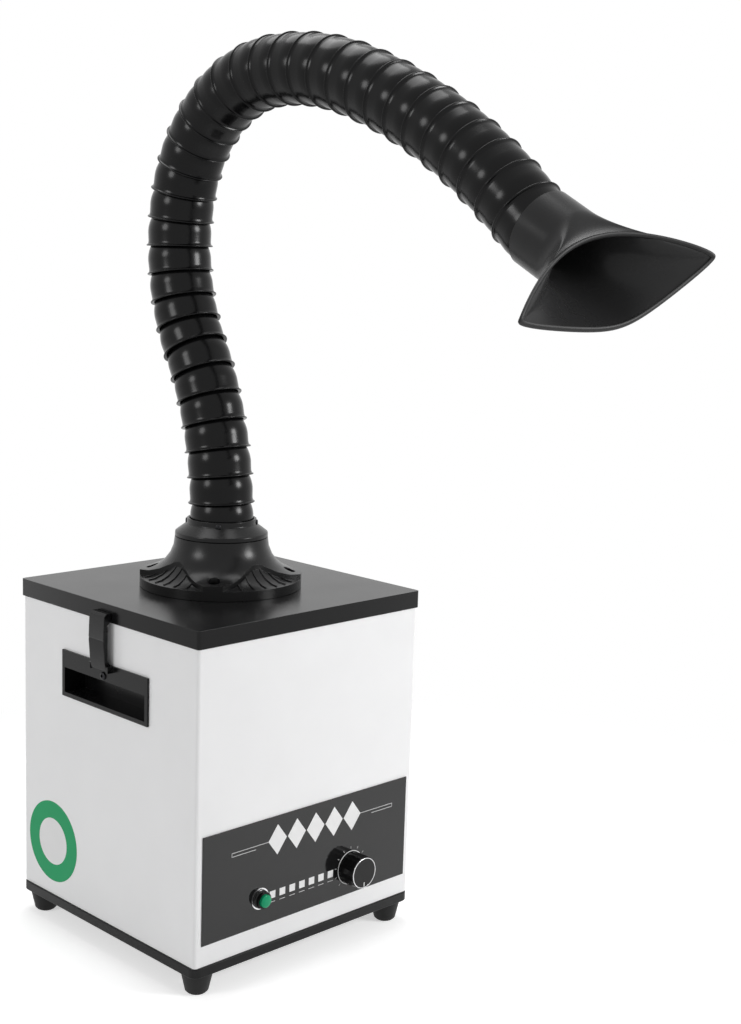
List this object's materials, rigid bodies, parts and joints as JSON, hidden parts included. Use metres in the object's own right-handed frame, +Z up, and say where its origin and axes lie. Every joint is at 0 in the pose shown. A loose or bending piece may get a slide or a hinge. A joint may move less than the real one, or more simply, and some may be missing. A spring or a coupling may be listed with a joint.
{
  "type": "fume extraction arm",
  "caption": "Desktop fume extractor: square filter cabinet with latched lid and a jointed stay-put suction arm of ball segments ending in a wide scoop hood.",
  "frame": {"origin": "on the floor, under the middle of the whole object", "axes": "+Z up, the control panel and the hood face -Y, +X to the right of a person facing the panel"},
  "size_m": [0.352, 0.7312, 1.0234],
  "materials": {
    "white_enamel": "satin powder coat",
    "black_enamel": "satin powder coat",
    "black_plastic": "satin moulded",
    "gloss_plastic": "glossy moulded",
    "panel_film": "matt printed film",
    "green_lens": "translucent",
    "steel": "zinc plated",
    "rubber": "matt",
    "filter_paper": "matt",
    "carbon_media": "granular",
    "filter_pad": "felted"
  },
  "bodies": {
    "cabinet": {"cabinet_shell": "white_enamel", "base_tray": "black_plastic", "foot_1": "rubber", "foot_2": "rubber", "foot_3": "rubber", "foot_4": "rubber", "control_panel": "panel_film", "lamp_bezel": "black_plastic", "lamp_lens": "green_lens", "potentiometer": "steel", "handle_left": "black_plastic", "handle_right": "black_plastic", "fan_deck": "steel", "blower_housing": "black_plastic", "carbon_filter": "carbon_media", "hepa_filter": "filter_paper", "prefilter": "filter_pad", "power_inlet": "black_plastic"},
    "lid": {"lid": "black_enamel", "hose_flange": "black_plastic", "hose_collar": "black_plastic"},
    "arm_base": {"arm_base": "gloss_plastic"},
    "segment_01": {"arm_segment_01": "gloss_plastic"},
    "segment_02": {"arm_segment_02": "gloss_plastic"},
    "segment_03": {"arm_segment_03": "gloss_plastic"},
    "segment_04": {"arm_segment_04": "gloss_plastic"},
    "segment_05": {"arm_segment_05": "gloss_plastic"},
    "segment_06": {"arm_segment_06": "gloss_plastic"},
    "segment_07": {"arm_segment_07": "gloss_plastic"},
    "segment_08": {"arm_segment_08": "gloss_plastic"},
    "segment_09": {"arm_segment_09": "gloss_plastic"},
    "segment_10": {"arm_segment_10": "gloss_plastic"},
    "segment_11": {"arm_segment_11": "gloss_plastic"},
    "segment_12": {"arm_segment_12": "gloss_plastic"},
    "segment_13": {"arm_segment_13": "gloss_plastic"},
    "segment_14": {"arm_segment_14": "gloss_plastic"},
    "segment_15": {"arm_segment_15": "gloss_plastic"},
    "segment_16": {"arm_segment_16": "gloss_plastic"},
    "segment_17": {"arm_segment_17": "gloss_plastic"},
    "segment_18": {"arm_segment_18": "gloss_plastic"},
    "segment_19": {"arm_segment_19": "gloss_plastic"},
    "segment_20": {"arm_segment_20": "gloss_plastic"},
    "segment_21": {"arm_segment_21": "gloss_plastic"},
    "segment_22": {"arm_segment_22": "gloss_plastic"},
    "segment_23": {"arm_segment_23": "gloss_plastic"},
    "segment_24": {"arm_segment_24": "gloss_plastic"},
    "segment_25": {"arm_segment_25": "gloss_plastic"},
    "segment_26": {"arm_segment_26": "gloss_plastic"},
    "segment_27": {"arm_segment_27": "gloss_plastic"},
    "segment_28": {"arm_segment_28": "gloss_plastic"},
    "segment_29": {"arm_segment_29": "gloss_plastic"},
    "segment_30": {"arm_segment_30": "gloss_plastic"},
    "segment_31": {"arm_segment_31": "gloss_plastic"},
    "segment_32": {"arm_segment_32": "gloss_plastic"},
    "segment_33": {"arm_segment_33": "gloss_plastic"},
    "hood": {"hood": "black_plastic"},
    "knob": {"speed_knob": "black_plastic"},
    "latch_left": {"latch_left": "black_plastic"},
    "latch_right": {"latch_right": "black_plastic"},
    "blower_wheel": {"impeller": "black_plastic"}
  },
  "joints": [
    {"name": "lid_lift", "type": "slide", "parent": "cabinet", "child": "lid", "axis": [0, 0, 1], "range_m": [0, 0.06]},
    {"name": "arm_swivel", "type": "hinge", "parent": "lid", "child": "arm_base", "pos_m": [0, 0.19933, 0.489], "axis": [0, 0, 1], "range_deg": [-180, 180]},
    {"name": "bend_lower", "type": "hinge", "parent": "arm_base", "child": "segment_01", "pos_m": [0, 0.19933, 0.489], "axis": [1, 0, 0], "range_deg": [-5, 2]},
    {"name": "bend_02", "type": "hinge", "parent": "segment_01", "child": "segment_02", "pos_m": [0, 0.2013, 0.51959], "axis": [1, 0, 0], "range_deg": [-5, 2]},
    {"name": "bend_03", "type": "hinge", "parent": "segment_02", "child": "segment_03", "pos_m": [0, 0.20525, 0.54998], "axis": [1, 0, 0], "range_deg": [-5, 2]},
    {"name": "bend_04", "type": "hinge", "parent": "segment_03", "child": "segment_04", "pos_m": [0, 0.21157, 0.57997], "axis": [1, 0, 0], "range_deg": [-5, 2]},
    {"name": "bend_05", "type": "hinge", "parent": "segment_04", "child": "segment_05", "pos_m": [0, 0.22023, 0.60938], "axis": [1, 0, 0], "range_deg": [-5, 2]},
    {"name": "bend_06", "type": "hinge", "parent": "segment_05", "child": "segment_06", "pos_m": [0, 0.23116, 0.63801], "axis": [1, 0, 0], "range_deg": [-5, 2]},
    {"name": "bend_07", "type": "hinge", "parent": "segment_06", "child": "segment_07", "pos_m": [0, 0.24431, 0.6657], "axis": [1, 0, 0], "range_deg": [-5, 2]},
    {"name": "bend_08", "type": "hinge", "parent": "segment_07", "child": "segment_08", "pos_m": [0, 0.25959, 0.69227], "axis": [1, 0, 0], "range_deg": [-5, 2]},
    {"name": "bend_09", "type": "hinge", "parent": "segment_08", "child": "segment_09", "pos_m": [0, 0.27136, 0.72056], "axis": [1, 0, 0], "range_deg": [-5, 2]},
    {"name": "bend_10", "type": "hinge", "parent": "segment_09", "child": "segment_10", "pos_m": [0, 0.27945, 0.75013], "axis": [1, 0, 0], "range_deg": [-5, 2]},
    {"name": "bend_11", "type": "hinge", "parent": "segment_10", "child": "segment_11", "pos_m": [0, 0.28372, 0.78048], "axis": [1, 0, 0], "range_deg": [-5, 2]},
    {"name": "bend_middle", "type": "hinge", "parent": "segment_11", "child": "segment_12", "pos_m": [0, 0.28409, 0.81113], "axis": [1, 0, 0], "range_deg": [-9, 1]},
    {"name": "bend_13", "type": "hinge", "parent": "segment_12", "child": "segment_13", "pos_m": [0, 0.28057, 0.84157], "axis": [1, 0, 0], "range_deg": [-9, 1]},
    {"name": "bend_14", "type": "hinge", "parent": "segment_13", "child": "segment_14", "pos_m": [0, 0.2732, 0.87133], "axis": [1, 0, 0], "range_deg": [-9, 1]},
    {"name": "bend_15", "type": "hinge", "parent": "segment_14", "child": "segment_15", "pos_m": [0, 0.26064, 0.89928], "axis": [1, 0, 0], "range_deg": [-9, 1]},
    {"name": "bend_16", "type": "hinge", "parent": "segment_15", "child": "segment_16", "pos_m": [0, 0.24328, 0.92454], "axis": [1, 0, 0], "range_deg": [-9, 1]},
    {"name": "bend_17", "type": "hinge", "parent": "segment_16", "child": "segment_17", "pos_m": [0, 0.22168, 0.94629], "axis": [1, 0, 0], "range_deg": [-9, 1]},
    {"name": "bend_18", "type": "hinge", "parent": "segment_17", "child": "segment_18", "pos_m": [0, 0.19655, 0.96383], "axis": [1, 0, 0], "range_deg": [-9, 1]},
    {"name": "bend_19", "type": "hinge", "parent": "segment_18", "child": "segment_19", "pos_m": [0, 0.16868, 0.97658], "axis": [1, 0, 0], "range_deg": [-9, 1]},
    {"name": "bend_20", "type": "hinge", "parent": "segment_19", "child": "segment_20", "pos_m": [0, 0.13898, 0.98416], "axis": [1, 0, 0], "range_deg": [-9, 1]},
    {"name": "bend_21", "type": "hinge", "parent": "segment_20", "child": "segment_21", "pos_m": [0, 0.1084, 0.98629], "axis": [1, 0, 0], "range_deg": [-9, 1]},
    {"name": "bend_22", "type": "hinge", "parent": "segment_21", "child": "segment_22", "pos_m": [0, 0.07776, 0.9856], "axis": [1, 0, 0], "range_deg": [-9, 1]},
    {"name": "bend_upper", "type": "hinge", "parent": "segment_22", "child": "segment_23", "pos_m": [0, 0.04731, 0.98208], "axis": [1, 0, 0], "range_deg": [-6, 2]},
    {"name": "bend_24", "type": "hinge", "parent": "segment_23", "child": "segment_24", "pos_m": [0, 0.01732, 0.97576], "axis": [1, 0, 0], "range_deg": [-6, 2]},
    {"name": "bend_25", "type": "hinge", "parent": "segment_24", "child": "segment_25", "pos_m": [0, -0.01196, 0.96669], "axis": [1, 0, 0], "range_deg": [-6, 2]},
    {"name": "bend_26", "type": "hinge", "parent": "segment_25", "child": "segment_26", "pos_m": [0, -0.04078, 0.95626], "axis": [1, 0, 0], "range_deg": [-6, 2]},
    {"name": "bend_27", "type": "hinge", "parent": "segment_26", "child": "segment_27", "pos_m": [0, -0.06907, 0.94448], "axis": [1, 0, 0], "range_deg": [-6, 2]},
    {"name": "bend_28", "type": "hinge", "parent": "segment_27", "child": "segment_28", "pos_m": [0, -0.09678, 0.93138], "axis": [1, 0, 0], "range_deg": [-6, 2]},
    {"name": "bend_29", "type": "hinge", "parent": "segment_28", "child": "segment_29", "pos_m": [0, -0.12385, 0.91699], "axis": [1, 0, 0], "range_deg": [-6, 2]},
    {"name": "bend_30", "type": "hinge", "parent": "segment_29", "child": "segment_30", "pos_m": [0, -0.1502, 0.90134], "axis": [1, 0, 0], "range_deg": [-6, 2]},
    {"name": "bend_31", "type": "hinge", "parent": "segment_30", "child": "segment_31", "pos_m": [0, -0.17579, 0.88447], "axis": [1, 0, 0], "range_deg": [-6, 2]},
    {"name": "bend_32", "type": "hinge", "parent": "segment_31", "child": "segment_32", "pos_m": [0, -0.20055, 0.86641], "axis": [1, 0, 0], "range_deg": [-6, 2]},
    {"name": "bend_33", "type": "hinge", "parent": "segment_32", "child": "segment_33", "pos_m": [0, -0.22444, 0.84721], "axis": [1, 0, 0], "range_deg": [-6, 2]},
    {"name": "hood_turn", "type": "hinge", "parent": "segment_33", "child": "hood", "pos_m": [0, -0.2474, 0.8269], "axis": [0, -0.8829, -0.4695], "range_deg": [-90, 90]},
    {"name": "knob_turn", "type": "hinge", "parent": "cabinet", "child": "knob", "pos_m": [0.065, 0.01173, 0.092], "axis": [0, 1, 0], "range_deg": [0, 300]},
    {"name": "latch_left_swing", "type": "hinge", "parent": "cabinet", "child": "latch_left", "pos_m": [-0.1698, 0.19933, 0.3358], "axis": [0, -1, 0], "range_deg": [0, 95]},
    {"name": "latch_right_swing", "type": "hinge", "parent": "cabinet", "child": "latch_right", "pos_m": [0.1698, 0.19933, 0.3358], "axis": [0, 1, 0], "range_deg": [0, 95]},
    {"name": "wheel_spin", "type": "hinge", "parent": "cabinet", "child": "blower_wheel", "pos_m": [0, 0.19933, 0.0543], "axis": [0, 0, 1], "continuous": true}
  ],
  "couplings": [
    {"joint": "bend_02", "follows": "bend_lower", "ratio": 1},
    {"joint": "bend_03", "follows": "bend_lower", "ratio": 1},
    {"joint": "bend_04", "follows": "bend_lower", "ratio": 1},
    {"joint": "bend_05", "follows": "bend_lower", "ratio": 1},
    {"joint": "bend_06", "follows": "bend_lower", "ratio": 1},
    {"joint": "bend_07", "follows": "bend_lower", "ratio": 1},
    {"joint": "bend_08", "follows": "bend_lower", "ratio": 1},
    {"joint": "bend_09", "follows": "bend_lower", "ratio": 1},
    {"joint": "bend_10", "follows": "bend_lower", "ratio": 1},
    {"joint": "bend_11", "follows": "bend_lower", "ratio": 1},
    {"joint": "bend_13", "follows": "bend_middle", "ratio": 1},
    {"joint": "bend_14", "follows": "bend_middle", "ratio": 1},
    {"joint": "bend_15", "follows": "bend_middle", "ratio": 1},
    {"joint": "bend_16", "follows": "bend_middle", "ratio": 1},
    {"joint": "bend_17", "follows": "bend_middle", "ratio": 1},
    {"joint": "bend_18", "follows": "bend_middle", "ratio": 1},
    {"joint": "bend_19", "follows": "bend_middle", "ratio": 1},
    {"joint": "bend_20", "follows": "bend_middle", "ratio": 1},
    {"joint": "bend_21", "follows": "bend_middle", "ratio": 1},
    {"joint": "bend_22", "follows": "bend_middle", "ratio": 1},
    {"joint": "bend_24", "follows": "bend_upper", "ratio": 1},
    {"joint": "bend_25", "follows": "bend_upper", "ratio": 1},
    {"joint": "bend_26", "follows": "bend_upper", "ratio": 1},
    {"joint": "bend_27", "follows": "bend_upper", "ratio": 1},
    {"joint": "bend_28", "follows": "bend_upper", "ratio": 1},
    {"joint": "bend_29", "follows": "bend_upper", "ratio": 1},
    {"joint": "bend_30", "follows": "bend_upper", "ratio": 1},
    {"joint": "bend_31", "follows": "bend_upper", "ratio": 1},
    {"joint": "bend_32", "follows": "bend_upper", "ratio": 1},
    {"joint": "bend_33", "follows": "bend_upper", "ratio": 1}
  ]
}
